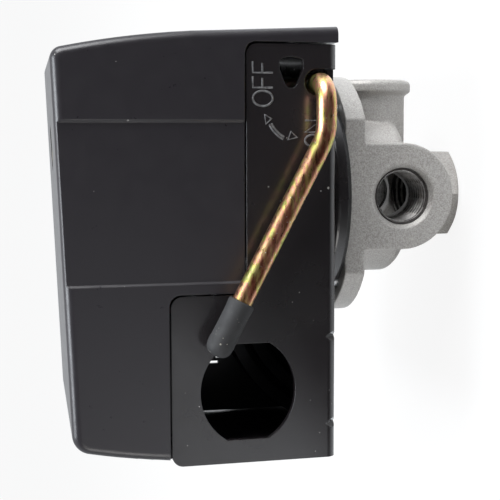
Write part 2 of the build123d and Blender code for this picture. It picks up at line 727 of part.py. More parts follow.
terminal_points = [(TERMINAL_X, y) for y in POLE_YS]
terminal_screws = screw_group(terminal_points, DECK_TOP + STRIP_T + 3.0, 3.4, 2.0, 1.5, 9.0, 0.9)
save(terminal_screws, "terminal_screws")

with BuildPart() as terminal_clamps:
    for y in POLE_YS:
        with BuildSketch(Plane.XY.offset(DECK_TOP + STRIP_T)):
            with Locations((TERMINAL_X, y)):
                RectangleRounded(7.6, 7.8, 0.8)
                Circle(1.55, mode=Mode.SUBTRACT)
        extrude(amount=1.0)
save(terminal_clamps, "terminal_clamps")

bridge_top = button_z - BUTTON_H - 0.1
with BuildPart() as carrier:
    with Locations((CONTACT_X, 0, CARRIER_FOOT_Z)):
        Box(
            CARRIER_W,
            2 * (BLOCK_HALF_Y - LEG_T - 0.4),
            bridge_top - BRIDGE_T - CARRIER_FOOT_Z,
            align=(Align.CENTER, Align.CENTER, Align.MIN),
        )
    for y in BRIDGE_YS:
        with Locations((CONTACT_X, y, CARRIER_FOOT_Z)):
            Box(CARRIER_W, 4.0, CARRIER_POST_H, align=(Align.CENTER, Align.CENTER, Align.MIN))
        with Locations((CONTACT_X, y, bridge_top - BRIDGE_T)):
            Box(
                BRIDGE_W + 0.2,
                2 * BRIDGE_LEN,
                BRIDGE_T,
                align=(Align.CENTER, Align.CENTER, Align.MIN),
                mode=Mode.SUBTRACT,
            )
save(carrier, "contact_carrier")

with BuildPart() as moving_contacts:
    for y in BRIDGE_YS:
        with Locations((CONTACT_X, y, bridge_top - BRIDGE_T)):
            Box(BRIDGE_W, BRIDGE_LEN, BRIDGE_T, align=(Align.CENTER, Align.CENTER, Align.MIN))
        for pole in (y - POLE_PITCH / 2, y + POLE_PITCH / 2):
            with Locations((CONTACT_X, pole, bridge_top)):
                Cylinder(2.2, BUTTON_H, align=(Align.CENTER, Align.CENTER, Align.MIN))
save(moving_contacts, "moving_contacts")

ground_screw = screw_group([(-38.0, 24.0)], base_top + 4.0, 3.6, 2.4, 2.0, 1.6, 1.0)
save(ground_screw, "ground_screw")

# ---------------------------------------------------------------- hand lever
elbow = (LEVER_X, ROD_Y, LEVER_Z)
knee = (ROD_KNEE_X, ROD_Y, LEVER_Z)
reach = (knee[0] - CAP_START_X) / cos(radians(ROD_LEAN))
lean = Vector(-cos(radians(ROD_LEAN)), 0, sin(radians(ROD_LEAN)))
cap_base = Vector(*knee) + lean * reach
rod_end = cap_base + lean * (CAP_LEN - CAP_SKIN)

with BuildPart() as lever_rod:
    with BuildLine() as route:
        FilletPolyline(
            (LEVER_X, FRAME_HALF_Y + 3.0, LEVER_Z),
            elbow,
            knee,
            tuple(rod_end),
            radius=(ROD_ELBOW_R, ROD_KNEE_R),
        )
    with BuildSketch(Plane(origin=route.line @ 0, z_dir=route.line % 0)):
        Circle(ROD_R)
    sweep(path=route.line)
save(lever_rod, "lever_rod")

with BuildPart() as lever_cap:
    with BuildSketch(Plane(origin=cap_base, z_dir=lean)):
        Circle(CAP_R)
    extrude(amount=CAP_LEN)
    far = lever_cap.faces().sort_by(Axis.X)[0]
    fillet(far.edges(), CAP_R - 0.4)
    with BuildSketch(Plane(origin=cap_base, z_dir=lean)):
        Circle(ROD_R + 0.005)
    extrude(amount=CAP_LEN - CAP_SKIN, mode=Mode.SUBTRACT)
save(lever_cap, "lever_cap")

with BuildPart() as lever_washer:
    with Locations(Location((LEVER_X, FRAME_HALF_Y + 0.9, LEVER_Z), (90, 0, 0))):
        Cylinder(WASHER_R, 0.8)
        Cylinder(ROD_R + 0.005, 4.0, mode=Mode.SUBTRACT)
save(lever_washer, "lever_washer")

# Cam with a flat finger that points at the rocker's free end and lifts it in the OFF position.
with BuildPart() as lever_cam:
    with BuildSketch(Plane.XZ.offset(-CAM_HALF_Y)):
        with Locations((LEVER_X, LEVER_Z)):
            Circle(CAM_HUB_R)
        with BuildLine():
            Polyline(
                (LEVER_X, LEVER_Z - CAM_HUB_R),
                (LEVER_X - CAM_REACH, LEVER_Z - CAM_HUB_R + 0.4),
                (LEVER_X - CAM_REACH, LEVER_Z - CAM_HUB_R + 1.6),
                (LEVER_X, LEVER_Z + CAM_HUB_R - 1.0),
                close=True,
            )
        make_face()
        with Locations((LEVER_X, LEVER_Z)):
            Circle(ROD_R + 0.005, mode=Mode.SUBTRACT)
    extrude(amount=2 * CAM_HALF_Y)
save(lever_cam, "lever_cam")


# ---------------------------------------------------------------- cover
def cover_block(inset, foot):
    """Solid of the cover's side outline under its sloping top, inset for the inner skin."""
    left = [(x + inset, z) for x, z in COVER_LEFT]
    right = [(x - inset, z) for x, z in COVER_RIGHT]
    with BuildPart() as block:
        with BuildSketch(Plane.XZ.offset(-COVER_FACE_Y + inset)):
            with BuildLine():
                Polyline(left[1], (left[0][0], foot), (right[0][0], foot), right[1])
                ThreePointArc(*right[1:])
                Line(right[3], left[3])
                ThreePointArc(*left[1:])
            make_face()
        extrude(amount=2 * (COVER_FACE_Y - inset))
        top = Plane(
            origin=(0, -COVER_FACE_Y, COVER_TOP_Z - inset),
            z_dir=(-COVER_TOP_RISE, COVER_TOP_FALL, 1),
        )
        split(bisect_by=top, keep=Keep.BOTTOM)
    return block.part


with BuildPart() as cover:
    add(cover_block(0.0, BASE_Z))
    fillet(cover.faces().sort_by(Axis.Z)[-1].edges().sort_by(Axis.X)[0], COVER_LEFT_CORNER_R)
    fillet(cover.faces().sort_by(Axis.Z)[-1].edges().sort_by(Axis.X)[-1], COVER_RIGHT_CORNER_R)
    skin = cover.faces().filter_by(Axis.Y)
    fillet(skin.edges().filter_by(lambda e: e.center().Z > BASE_Z + 1), COVER_EDGE_R)
    # Shallow panel on each long face.
    for side in (-1, 1):
        with BuildSketch(Plane.XY.offset(BASE_Z)):
            with BuildLine():
                Polyline(
                    (-BAND_HALF - 0.5, side * (COVER_FACE_Y + 0.5)),
                    (-BAND_HALF + 0.5, side * (COVER_FACE_Y - BAND_DEPTH)),
                    (BAND_HALF - 0.5, side * (COVER_FACE_Y - BAND_DEPTH)),
                    (BAND_HALF + 0.5, side * (COVER_FACE_Y + 0.5)),
                    close=True,
                )
            make_face()
        extrude(amount=80.0, mode=Mode.SUBTRACT)
    # Inside.
    add(cover_block(WALL, BASE_Z - 1.0), mode=Mode.SUBTRACT)
    # Skirt inside the flank beside the frame's base.
    skirt_left = FRAME_RIGHT + COVER_GAP
    skirt_right = COVER_RIGHT[0][0] - WALL / 2
    with Locations(((skirt_left + skirt_right) / 2, 0, BASE_Z)):
        Box(
            skirt_right - skirt_left,
            2 * COVER_FACE_Y - WALL,
            SKIRT_H,
            align=(Align.CENTER, Align.CENTER, Align.MIN),
        )
    # Windows round the end plates.
    with BuildSketch(Plane.XZ.offset(-COVER_FACE_Y - 1)):
        add(plate_outline(gap=COVER_GAP, foot=2.0))
    extrude(amount=WALL + 1.6, mode=Mode.SUBTRACT)
    with BuildSketch(Plane.XZ.offset(COVER_FACE_Y + 1)):
        add(plate_outline(gap=COVER_GAP, foot=2.0))
    extrude(amount=-WALL - 1.6, mode=Mode.SUBTRACT)
    # The wall beyond the wiring space stands on the base.
    with Locations((FRAME_LEFT, 0, BASE_Z)):
        Box(6.0, 2 * COVER_FACE_Y + 2, 2 * SHEET + 0.6, mode=Mode.SUBTRACT)
    # Recess for the cover nut.
    with BuildSketch(Plane.XY.offset(COVER_SEAT_Z - WALL)):
        with Locations((RANGE_X, 0)):
            Circle(COVER_NUT_R + 0.6 + WALL)
    extrude(until=Until.NEXT)
    with BuildSketch(Plane.XY.offset(COVER_SEAT_Z)):
        with Locations((RANGE_X, 0)):
            Circle(COVER_NUT_R + 0.6)
    extrude(amount=20.0, mode=Mode.SUBTRACT)
    with Locations((RANGE_X, 0, COVER_SEAT_Z)):
        Cylinder(COVER_STUD_R + 0.5, 20.0, mode=Mode.SUBTRACT)
save(cover, "cover")

with BuildPart() as cover_nut:
    with BuildSketch(Plane.XY.offset(COVER_SEAT_Z + 0.1)):
        with Locations((RANGE_X, 0)):
            Circle(COVER_NUT_R)
    extrude(amount=3.6)
    fillet(cover_nut.edges().group_by(Axis.Z)[-1], 0.8)
    with BuildSketch(Plane.XY.offset(COVER_SEAT_Z)):
        with Locations((RANGE_X, 0)):
            Circle(COVER_STUD_R + 0.05)
    extrude(amount=2.6, mode=Mode.SUBTRACT)
    with BuildSketch(Plane.XY.offset(COVER_SEAT_Z + 3.7)):
        with Locations((RANGE_X, 0)):
            Rectangle(2 * COVER_NUT_R + 1, 1.2)
    extrude(amount=-1.0, mode=Mode.SUBTRACT)
save(cover_nut, "cover_nut")
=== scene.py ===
import json
import math

import bmesh
import bpy
import numpy as np
from mathutils import Matrix, Vector, noise


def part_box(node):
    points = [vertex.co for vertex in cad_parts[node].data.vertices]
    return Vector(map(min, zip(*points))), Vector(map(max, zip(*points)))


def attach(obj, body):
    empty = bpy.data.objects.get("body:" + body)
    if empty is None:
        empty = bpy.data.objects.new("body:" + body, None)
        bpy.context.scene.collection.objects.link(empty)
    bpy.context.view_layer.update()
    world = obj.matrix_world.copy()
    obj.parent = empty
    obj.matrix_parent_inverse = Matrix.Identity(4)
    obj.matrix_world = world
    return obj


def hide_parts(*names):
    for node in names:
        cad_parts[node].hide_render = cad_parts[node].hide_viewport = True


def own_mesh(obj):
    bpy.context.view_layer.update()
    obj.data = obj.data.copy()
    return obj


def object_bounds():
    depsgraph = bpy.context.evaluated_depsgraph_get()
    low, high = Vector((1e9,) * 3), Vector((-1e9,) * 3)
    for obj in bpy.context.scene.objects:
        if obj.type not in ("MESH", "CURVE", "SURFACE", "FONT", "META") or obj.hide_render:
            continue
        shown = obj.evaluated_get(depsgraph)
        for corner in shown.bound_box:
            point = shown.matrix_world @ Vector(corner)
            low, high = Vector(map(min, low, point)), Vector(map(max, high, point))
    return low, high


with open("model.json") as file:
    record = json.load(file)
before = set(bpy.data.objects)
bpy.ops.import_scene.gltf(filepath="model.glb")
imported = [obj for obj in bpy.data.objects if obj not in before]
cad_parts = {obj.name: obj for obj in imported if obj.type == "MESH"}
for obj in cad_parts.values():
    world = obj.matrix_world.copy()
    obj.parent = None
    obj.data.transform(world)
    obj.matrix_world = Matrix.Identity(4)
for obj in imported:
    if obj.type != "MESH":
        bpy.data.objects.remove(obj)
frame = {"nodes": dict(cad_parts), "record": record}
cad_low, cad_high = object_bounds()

MM = 0.001
RECORD_SLOTS = {s["node"]: s["material_slot"] for s in frame["record"]["subparts"]}

# ------------------------------------------------------------------ places taken from the frame
FRONT_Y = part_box("frame")[0].y
MOUNTS = {m["name"]: m for m in frame["record"]["mounts"]}


# ------------------------------------------------------------------ camera, floor and light
CAMERA_AT = Vector((13.97, -285.84, 120.38)) * MM
CAMERA_AZIMUTH = -5.64
CAMERA_FALL = 13.24
CAMERA_ROLL = 91.46
LENS = 82.8
SENSOR = 36.0
TENT_FRONT = 0.10           # brightness of the surroundings towards -Y and behind the object
TENT_BACK = 0.85
FLOOR_HALF = 20.0           # half the floor's side, in metres
FLOOR_DROP = 0.2 * MM
FLOOR_SHADOW = 0.12         # share of real shading in the floor as the camera sees it
FLOOR_DARK = 0.03           # what the floor throws back right in front of the object, and behind it
FLOOR_PALE = 0.85


def make_camera():
    """Camera level with the object's long side, rolled so that the cover is at the picture's left."""
    a, e, r = (math.radians(d) for d in (CAMERA_AZIMUTH, CAMERA_FALL, CAMERA_ROLL))
    forward = Vector((math.sin(a) * math.cos(e), math.cos(a) * math.cos(e), -math.sin(e)))
    level = forward.cross(Vector((0, 0, 1))).normalized()
    upright = level.cross(forward)
    up = upright * math.cos(r) + level * math.sin(r)
    right = forward.cross(up)
    data = bpy.data.cameras.new("camera")
    data.lens = LENS
    data.sensor_width = SENSOR
    data.clip_start, data.clip_end = 0.01, 20.0
    camera = bpy.data.objects.new("camera", data)
    turned = Matrix((right, up, -forward)).transposed().to_4x4()
    camera.matrix_world = Matrix.Translation(CAMERA_AT) @ turned
    bpy.context.scene.collection.objects.link(camera)
    bpy.context.scene.camera = camera


def area_light(name, place, target, size, power, colour):
    data = bpy.data.lights.new(name, "AREA")
    data.shape = "RECTANGLE"
    data.size, data.size_y = size
    data.energy = power
    data.color = colour
    lamp = bpy.data.objects.new(name, data)
    place = Vector(place)
    lamp.location = place
    lamp.rotation_mode = "QUATERNION"
    lamp.rotation_quaternion = (Vector(target) - place).to_track_quat("-Z", "Y")
    bpy.context.scene.collection.objects.link(lamp)


def smooth_step(nodes, links, value, start, end, to_start, to_end):
    """Node that goes smoothly from to_start to to_end as the value goes from start to end."""
    node = nodes.new("ShaderNodeMapRange")
    node.interpolation_type = "SMOOTHSTEP"
    node.inputs["From Min"].default_value = start
    node.inputs["From Max"].default_value = end
    node.inputs["To Min"].default_value = to_start
    node.inputs["To Max"].default_value = to_end
    links.new(value, node.inputs["Value"])
    return node.outputs[0]


def floor_paint():
    """Nearly even white to the camera. To all other rays it is dark right in front of the object."""
    paint, shader = new_material("floor_white", (0.9, 0.9, 0.9), 1.0)
    nodes, links = paint.node_tree.nodes, paint.node_tree.links
    shader.inputs["Specular IOR Level"].default_value = 0.0
    place = nodes.new("ShaderNodeNewGeometry")
    split = nodes.new("ShaderNodeSeparateXYZ")
    links.new(place.outputs["Position"], split.inputs[0])
    near, far = FRONT_Y - 60 * MM, FRONT_Y + 20 * MM
    fade = smooth_step(nodes, links, split.outputs["Y"], near, far, FLOOR_DARK, FLOOR_PALE)
    beside = smooth_step(nodes, links, split.outputs["X"], -70 * MM, -120 * MM, 0.02, 0.75)
    paler = nodes.new("ShaderNodeMath")
    paler.operation = "MAXIMUM"
    links.new(fade, paler.inputs[0])
    links.new(beside, paler.inputs[1])
    dim = nodes.new("ShaderNodeBsdfDiffuse")
    links.new(paler.outputs[0], dim.inputs["Color"])
    glow = nodes.new("ShaderNodeEmission")
    glow.inputs["Strength"].default_value = 1.0
    seen = nodes.new("ShaderNodeMixShader")
    seen.inputs[0].default_value = FLOOR_SHADOW
    links.new(glow.outputs[0], seen.inputs[1])
    links.new(shader.outputs[0], seen.inputs[2])
    path = nodes.new("ShaderNodeLightPath")
    pick = nodes.new("ShaderNodeMixShader")
    links.new(path.outputs["Is Camera Ray"], pick.inputs[0])
    links.new(dim.outputs[0], pick.inputs[1])
    links.new(seen.outputs[0], pick.inputs[2])
    links.new(pick.outputs[0], nodes["Material Output"].inputs["Surface"])
    return paint


def make_world():
    """White to the camera. To all other rays a soft tent: pale above and behind, dark towards -Y."""
    world = bpy.data.worlds.new("studio")
    bpy.context.scene.world = world
    world.use_nodes = True
    nodes, links = world.node_tree.nodes, world.node_tree.links
    nodes.clear()
    out = nodes.new("ShaderNodeOutputWorld")
    where = nodes.new("ShaderNodeTexCoord")
    split = nodes.new("ShaderNodeSeparateXYZ")
    links.new(where.outputs["Generated"], split.inputs[0])
    tent = smooth_step(nodes, links, split.outputs["Y"], -0.80, 0.25, TENT_FRONT, TENT_BACK)
    lit = nodes.new("ShaderNodeBackground")
    lit.inputs["Color"].default_value = (0.94, 0.97, 1.0, 1)
    links.new(tent, lit.inputs["Strength"])
    plain = nodes.new("ShaderNodeBackground")
    plain.inputs["Color"].default_value = (1, 1, 1, 1)
    path = nodes.new("ShaderNodeLightPath")
    pick = nodes.new("ShaderNodeMixShader")
    links.new(path.outputs["Is Camera Ray"], pick.inputs[0])
    links.new(lit.outputs[0], pick.inputs[1])
    links.new(plain.outputs[0], pick.inputs[2])
    links.new(pick.outputs[0], out.inputs[0])


def make_stage():
    """Pale floor and soft surroundings, with soft boxes beside, above and low in front of the object."""
    mesh = bpy.data.meshes.new("floor")
    corners = [(x * FLOOR_HALF, y * FLOOR_HALF, 0) for x, y in ((-1, -1), (1, -1), (1, 1), (-1, 1))]
    mesh.from_pydata(corners, [], [(0, 1, 2, 3)])
    floor = bpy.data.objects.new("floor", mesh)
    floor.location.z = cad_low.z - FLOOR_DROP
    bpy.context.scene.collection.objects.link(floor)
    floor.data.materials.append(floor_paint())
    make_world()
    centre = (cad_low + cad_high) / 2
    area_light("side", (0.60, -0.22, 0.30), centre, (0.45, 0.45), 7.0, (0.97, 0.98, 1.0))
    area_light("top", (-0.02, -0.16, 0.75), centre, (0.5, 0.35), 6.5, (0.90, 0.95, 1.0))
    area_light("low_fill", (-0.45, -0.42, 0.06), centre, (0.25, 0.25), 1.0, (1.0, 0.97, 0.94))


# ------------------------------------------------------------------ materials
def new_material(name, colour, roughness, metallic=0.0):
    paint = bpy.data.materials.new(name)
    paint.use_nodes = True
    shader = paint.node_tree.nodes["Principled BSDF"]
    shader.inputs["Base Color"].default_value = (*colour, 1)
    shader.inputs["Roughness"].default_value = roughness
    shader.inputs["Metallic"].default_value = metallic
    return paint, shader


class Graph:
    """Short ways to add nodes to one material."""

    def __init__(self, name, colour, roughness, metallic=0.0):
        self.paint, self.shader = new_material(name, colour, roughness, metallic)
        self.nodes = self.paint.node_tree.nodes
        self.links = self.paint.node_tree.links
        self.place = self.nodes.new("ShaderNodeTexCoord").outputs["Object"]

    def stretched(self, scale, turn_y=0.0):
        """Object coordinates scaled per axis, after a turn about Y in degrees."""
        node = self.nodes.new("ShaderNodeMapping")
        node.inputs["Scale"].default_value = scale
        node.inputs["Rotation"].default_value = (0, math.radians(turn_y), 0)
        self.links.new(self.place, node.inputs["Vector"])
        return node.outputs[0]

    def noise(self, size_mm, detail=3.0, roughness=0.55, vector=None):
        node = self.nodes.new("ShaderNodeTexNoise")
        node.inputs["Scale"].default_value = 1.0 / (size_mm * MM)
        node.inputs["Detail"].default_value = detail
        node.inputs["Roughness"].default_value = roughness
        self.links.new(vector or self.place, node.inputs["Vector"])
        return node.outputs["Fac"]

    def cells(self, size_mm):
        node = self.nodes.new("ShaderNodeTexVoronoi")
        node.inputs["Scale"].default_value = 1.0 / (size_mm * MM)
        self.links.new(self.place, node.inputs["Vector"])
        return node

    def map(self, value, low, high, to_low=0.0, to_high=1.0):
        node = self.nodes.new("ShaderNodeMapRange")
        node.inputs["From Min"].default_value = low
        node.inputs["From Max"].default_value = high
        node.inputs["To Min"].default_value = to_low
        node.inputs["To Max"].default_value = to_high
        self.links.new(value, node.inputs["Value"])
        return node.outputs[0]

    def math(self, operation, a, b):
        node = self.nodes.new("ShaderNodeMath")
        node.operation = operation
        for socket, value in zip(node.inputs, (a, b)):
            if isinstance(value, (int, float)):
                socket.default_value = value
            else:
                self.links.new(value, socket)
        return node.outputs[0]

    def mix(self, factor, a, b):
        node = self.nodes.new("ShaderNodeMix")
        node.data_type = "RGBA"
        for socket, value in ((node.inputs[0], factor), (node.inputs[6], a), (node.inputs[7], b)):
            if isinstance(value, tuple):
                socket.default_value = (*value, 1)
            elif isinstance(value, (int, float)):
                socket.default_value = value
            else:
                self.links.new(value, socket)
        return node.outputs[2]

    def ramp(self, value, stops):
        node = self.nodes.new("ShaderNodeValToRGB")
        while len(node.color_ramp.elements) < len(stops):
            node.color_ramp.elements.new(0.5)
        for element, (position, colour) in zip(node.color_ramp.elements, stops):
            element.position = position
            element.color = (*colour, 1)
        self.links.new(value, node.inputs[0])
        return node.outputs[0]

    def bump(self, height, depth_mm, strength=1.0, below=None):
        node = self.nodes.new("ShaderNodeBump")
        node.inputs["Strength"].default_value = strength
        node.inputs["Distance"].default_value = depth_mm * MM
        self.links.new(height, node.inputs["Height"])
        if below is not None:
            self.links.new(below, node.inputs["Normal"])
        return node.outputs[0]

    def soft_edges(self, radius_mm):
        node = self.nodes.new("ShaderNodeBevel")
        node.samples = 4
        node.inputs["Radius"].default_value = radius_mm * MM
        return node.outputs[0]

    def specks(self, cell_mm, share, size):
        """Sparse round specks: 1 inside a speck. share is the part of the cells that hold one."""
        cell = self.cells(cell_mm)
        inside = self.math("LESS_THAN", cell.outputs["Distance"], size)
        chosen = self.nodes.new("ShaderNodeSeparateColor")
        self.links.new(cell.outputs["Color"], chosen.inputs[0])
        rare = self.math("LESS_THAN", chosen.outputs[0], share)
        return self.math("MULTIPLY", inside, rare)

    def to(self, socket, value):
        self.links.new(value, self.shader.inputs[socket])


def dusty(graph, colour, dust=(0.32, 0.31, 0.29), share=0.03, cell_mm=1.1, size=0.14):
    """Base colour with fine pale specks of dust, gathered in patches."""
    fine = graph.specks(cell_mm, share, size)
    coarse = graph.specks(cell_mm * 2.6, share * 0.7, size * 0.7)
    both = graph.math("MAXIMUM", fine, coarse)
    patch = graph.map(graph.noise(14.0, 2.0), 0.42, 0.62)
    graph.to("Base Color", graph.mix(graph.math("MULTIPLY", both, patch), colour, dust))


def black_paint(name):
    """Glossy black stove enamel on sheet steel."""
    g = Graph(name, (0.012, 0.010, 0.011), 0.22)
    g.shader.inputs["Coat Weight"].default_value = 0.4
    g.shader.inputs["Coat Roughness"].default_value = 0.12
    dusty(g, (0.012, 0.010, 0.011), share=0.05)
    peel = g.noise(2.2, 2.0)
    smudge = g.noise(18.0, 4.0)
    g.to("Roughness", g.map(smudge, 0.3, 0.7, 0.17, 0.32))
    g.to("Normal", g.bump(peel, 0.02, 0.5, g.soft_edges(0.25)))
    return g.paint


def cover_plastic():
    """Satin black moulded plastic with faint flow lines and scuffs."""
    g = Graph("cover_plastic", (0.020, 0.018, 0.021), 0.34)
    dusty(g, (0.020, 0.018, 0.021), share=0.02, cell_mm=1.4, size=0.10)
    grain = g.noise(0.35, 2.0)
    flow = g.noise(9.0, 3.0, vector=g.stretched((1.0, 1.0, 0.08)))
    scuff = g.noise(3.0, 5.0, 0.7)
    g.to("Roughness", g.map(scuff, 0.3, 0.75, 0.27, 0.40))
    g.to("Normal", g.bump(grain, 0.006, 0.4, g.bump(flow, 0.05, 0.25, g.soft_edges(0.35))))
    return g.paint


def cast_metal():
    """Shot-blasted die-cast aluminium: a beige grey with an even fine grain."""
    g = Graph("cast_metal", (0.36, 0.345, 0.325), 0.52, 0.45)
    grain = g.noise(0.30, 3.0, 0.6)
    blasted = g.noise(0.75, 3.0, 0.6)
    tone = g.noise(7.0, 3.0)
    pale = g.mix(g.map(grain, 0.38, 0.62), (0.27, 0.255, 0.24), (0.50, 0.485, 0.46))
    spotted = g.mix(g.map(blasted, 0.35, 0.65, 0.0, 0.45), pale, (0.36, 0.345, 0.33))
    g.to("Base Color", g.mix(g.map(tone, 0.35, 0.7, 0.0, 0.2), spotted, (0.40, 0.39, 0.38)))
    g.to("Roughness", g.map(grain, 0.3, 0.7, 0.42, 0.62))
    g.to("Normal", g.bump(grain, 0.09, 0.8, g.bump(blasted, 0.10, 0.6)))
    return g.paint


def machined_metal():
    """Crests of the cut threads in the cast ports: dull aluminium."""
    g = Graph("machined_metal", (0.36, 0.35, 0.34), 0.46, 0.7)
    lines = g.noise(0.8, 4.0)
    g.to("Base Color", g.mix(g.map(lines, 0.35, 0.7), (0.40, 0.39, 0.38), (0.22, 0.21, 0.20)))
    g.to("Roughness", g.map(lines, 0.3, 0.7, 0.40, 0.58))
    g.to("Normal", g.bump(g.noise(0.25, 2.0), 0.02, 0.4))
    return g.paint


def thread_root():
    """Painted shade: dark valleys between the threads, darker or lighter at random."""
    g = Graph("thread_root", (0.05, 0.045, 0.042), 0.6, 0.2)
    # Painted shade in the valleys, darker or lighter at random.
    valley_shade_mottle = g.noise(0.9, 4.0)
    g.to("Base Color", g.mix(g.map(valley_shade_mottle, 0.35, 0.7), (0.06, 0.052, 0.048), (0.03, 0.027, 0.026)))
    g.to("Roughness", g.map(valley_shade_mottle, 0.3, 0.7, 0.5, 0.75))
    return g.paint


def mark_highlight_paint():
    """Grey for the raised marks, paler than the frame's black enamel: a painted highlight that makes
    their fine strokes show.
    """
    g = Graph("mark_highlight_paint", (0.10, 0.10, 0.105), 0.38)
    rubbed = g.noise(0.6, 4.0)
    # The painted highlight on the marks, paler or darker at random.
    g.to("Base Color", g.mix(g.map(rubbed, 0.35, 0.65), (0.16, 0.16, 0.165), (0.05, 0.05, 0.052)))
    g.to("Roughness", g.map(rubbed, 0.3, 0.7, 0.28, 0.5))
    return g.paint


def yellow_zinc():
    """Yellow chromated zinc with pink, green and brown tints and rubbed streaks, and a painted
    reflection: a dark red-brown band on the side that faces -Y.
    """
    g = Graph("yellow_zinc", (0.75, 0.52, 0.24), 0.28, 1.0)
    along = g.stretched((0.25, 1.0, 1.0), 28.0)
    tint = g.noise(2.2, 3.0, 0.6, along)
    rubbed = g.noise(0.9, 5.0, 0.7, along)
    colour = g.ramp(
        tint,
        (
            (0.30, (0.50, 0.40, 0.12)),
            (0.42, (0.66, 0.46, 0.22)),
            (0.50, (0.72, 0.32, 0.24)),
            (0.56, (0.62, 0.52, 0.16)),
            (0.66, (0.46, 0.52, 0.16)),
            (0.74, (0.70, 0.38, 0.28)),
        ),
    )
    # Painted reflection: a dark red-brown band along the side that faces -Y, where the rod would mirror
    # its dark surroundings, placed by the rod's own surface direction.
    facing = g.nodes.new("ShaderNodeSeparateXYZ")
    g.links.new(g.nodes.new("ShaderNodeTexCoord").outputs["Normal"], facing.inputs[0])
    front = g.map(facing.outputs["Y"], -0.70, -0.96)
    patchy = g.map(g.noise(1.6, 4.0, 0.65, along), 0.38, 0.60, 0.35, 1.0)
    # The zinc colour with the painted reflection band mixed in.
    painted_reflection = g.mix(g.math("MULTIPLY", front, patchy), colour, (0.23, 0.075, 0.045))
    stained = g.mix(g.map(rubbed, 0.60, 0.72), painted_reflection, (0.16, 0.11, 0.07))
    g.to("Base Color", g.mix(g.specks(0.6, 0.09, 0.20), stained, (0.62, 0.60, 0.54)))
    g.to("Roughness", g.map(rubbed, 0.35, 0.7, 0.22, 0.50))
    g.to("Normal", g.bump(rubbed, 0.05, 0.5, g.bump(g.noise(0.5, 2.0), 0.02, 0.4)))
    return g.paint


def zinc_steel(name="zinc_steel", colour=(0.58, 0.59, 0.60)):
    """Bright zinc plating, or bare steel in a darker colour, with cloudy tarnish."""
    g = Graph(name, colour, 0.34, 1.0)
    cloud = g.noise(1.6, 4.0)
    dark = tuple(c * 0.72 for c in colour)
    g.to("Base Color", g.mix(g.map(cloud, 0.35, 0.7), colour, dark))
    g.to("Roughness", g.map(cloud, 0.3, 0.7, 0.26, 0.46))
    g.to("Normal", g.bump(g.noise(0.3, 3.0), 0.012, 0.5, g.soft_edges(0.12)))
    return g.paint


def brass():
    """Stamped brass with brown stains."""
    g = Graph("contact_brass", (0.78, 0.56, 0.26), 0.30, 1.0)
    stain = g.noise(2.0, 4.0)
    g.to("Base Color", g.mix(g.map(stain, 0.4, 0.75), (0.80, 0.58, 0.28), (0.46, 0.27, 0.12)))
    g.to("Roughness", g.map(stain, 0.3, 0.7, 0.22, 0.42))
    g.to("Normal", g.bump(g.noise(0.3, 2.0), 0.01, 0.4, g.soft_edges(0.12)))
    return g.paint


def rubber(name, colour, dust_share):
    """Matt black rubber with a fine rough skin and a little dust."""
    g = Graph(name, colour, 0.72)
    dusty(g, colour, (0.30, 0.28, 0.24), dust_share, 0.7, 0.16)
    skin = g.noise(0.28, 3.0, 0.65)
    wear = g.noise(3.0, 4.0)
    g.to("Roughness", g.map(wear, 0.3, 0.7, 0.58, 0.85))
    g.to("Normal", g.bump(skin, 0.05, 0.6))
    return g.paint


def moulded(name, colour, roughness=0.42):
    """Moulded plastic or an even coat, slightly clouded."""
    g = Graph(name, colour, roughness)
    cloud = g.noise(5.0, 3.0)
    pale = tuple(min(1.0, c * 1.25 + 0.004) for c in colour)
    g.to("Base Color", g.mix(g.map(cloud, 0.35, 0.7), colour, pale))
    g.to("Roughness", g.map(cloud, 0.3, 0.7, roughness - 0.08, roughness + 0.1))
    g.to("Normal", g.bump(g.noise(0.4, 2.0), 0.01, 0.4, g.soft_edges(0.2)))
    return g.paint


def make_materials():
    """All materials by slot name, and each CAD node given the one that the record names."""
    paints = {
        "frame_paint": black_paint("frame_paint"),
        "ring_paint": black_paint("ring_paint"),
        "cover_plastic": cover_plastic(),
        "cast_metal": cast_metal(),
        "machined_metal": machined_metal(),
        "thread_root": thread_root(),
        "mark_highlight_paint": mark_highlight_paint(),
        "yellow_zinc": yellow_zinc(),
        "zinc_steel": zinc_steel(),
        "pressed_steel": zinc_steel("pressed_steel", (0.50, 0.50, 0.49)),
        "spring_steel": zinc_steel("spring_steel", (0.30, 0.30, 0.32)),
        "contact_brass": brass(),
        "cap_rubber": rubber("cap_rubber", (0.021, 0.021, 0.022), 0.30),
        "diaphragm_rubber": rubber("diaphragm_rubber", (0.02, 0.02, 0.02), 0.03),
        "moulded_black": moulded("moulded_black", (0.022, 0.022, 0.025)),
        "moulded_red": moulded("moulded_red", (0.28, 0.045, 0.03)),
        "piston_plastic": moulded("piston_plastic", (0.62, 0.60, 0.54)),
        "ground_green": moulded("ground_green", (0.03, 0.25, 0.09), 0.3),
    }
    for node, piece in frame["nodes"].items():
        piece.data.materials.clear()
        piece.data.materials.append(paints[RECORD_SLOTS[node]])
    return paints


# ------------------------------------------------------------------ mesh helpers
def add_piece(name, mesh, body, paint):
    """Link a finished mesh, give it its material, shade it smooth and let it ride on a body."""
    piece = bpy.data.objects.new(name, mesh)
    bpy.context.scene.collection.objects.link(piece)
    mesh.materials.clear()
    mesh.materials.append(paint)
    mesh.polygons.foreach_set("use_smooth", [True] * len(mesh.polygons))
    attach(piece, body)
    return piece


def grid_mesh(name, rows, close_rows=False):
    """Mesh over rings of points. The last ring joins the first when close_rows is set."""
    count = len(rows[0])
    points = [p for row in rows for p in row]
    faces = []
    row_total = len(rows) if close_rows else len(rows) - 1
    for i in range(row_total):
        a, b = i * count, ((i + 1) % len(rows)) * count
        for j in range(count):
            k = (j + 1) % count
            faces.append((a + j, a + k, b + k, b + j))
    mesh = bpy.data.meshes.new(name)
    mesh.from_pydata([tuple(p) for p in points], [], faces)
    return mesh


